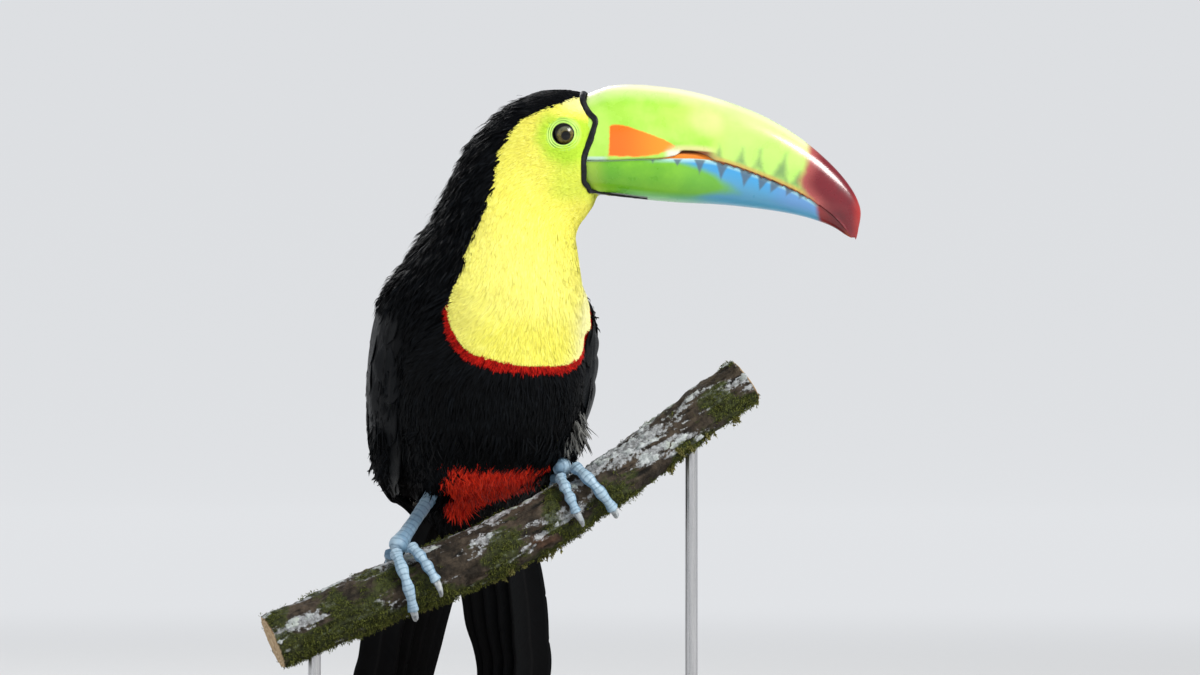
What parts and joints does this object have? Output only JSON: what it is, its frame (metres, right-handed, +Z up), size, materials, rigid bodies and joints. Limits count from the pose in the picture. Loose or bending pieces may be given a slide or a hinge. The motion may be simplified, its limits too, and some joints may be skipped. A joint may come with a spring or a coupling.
{
  "type": "keel-billed toucan model",
  "caption": "Life-size still model of a keel-billed toucan gripping a cut length of branch, with a huge keeled bill, held over a flat base by short rods.",
  "frame": {"origin": "middle of the base's underside, which lies on the floor", "axes": "+Z up; +X along the perch, the way the bill points; -Y is the side that the bird's breast faces"},
  "size_m": [0.3018, 0.22, 0.362],
  "materials": {
    "plumage_black": "soft black feathers with a faint blue-green gloss, maroon on the nape",
    "plumage_yellow": "fine hair-like lemon yellow feathers",
    "plumage_red": "soft scarlet feathers",
    "bill_green": "glossy horn, lime green with an orange patch and a maroon tip",
    "bill_blue": "glossy horn, green at the base, azure beyond it and maroon at the tip",
    "eye": "wet gloss, olive iris and black pupil",
    "foot_blue": "scaled skin, pale sky blue",
    "claw": "grey horn",
    "bark": "rough bark with pale lichen and green moss",
    "stand_wood": "dark satin varnish",
    "stand_steel": "fine brushed"
  },
  "bodies": {
    "root": {"head": "plumage_yellow", "neck": "plumage_yellow", "trunk": "plumage_black", "tail_coverts": "plumage_red", "wing_right": "plumage_black", "wing_left": "plumage_black", "tail_right": "plumage_black", "tail_left": "plumage_black", "thigh_right": "plumage_black", "thigh_left": "plumage_black", "bill_upper": "bill_green", "bill_lower": "bill_blue", "eye_right": "eye", "eye_left": "eye", "shank_right": "foot_blue", "shank_left": "foot_blue", "toe_right_1": "foot_blue", "toe_right_2": "foot_blue", "toe_right_3": "foot_blue", "toe_right_4": "foot_blue", "toe_left_1": "foot_blue", "toe_left_2": "foot_blue", "toe_left_3": "foot_blue", "toe_left_4": "foot_blue", "claw_right_1": "claw", "claw_right_2": "claw", "claw_right_3": "claw", "claw_right_4": "claw", "claw_left_1": "claw", "claw_left_2": "claw", "claw_left_3": "claw", "claw_left_4": "claw", "perch": "bark", "stand_base": "stand_wood", "stand_rod_1": "stand_steel", "stand_rod_2": "stand_steel"}
  },
  "joints": []
}
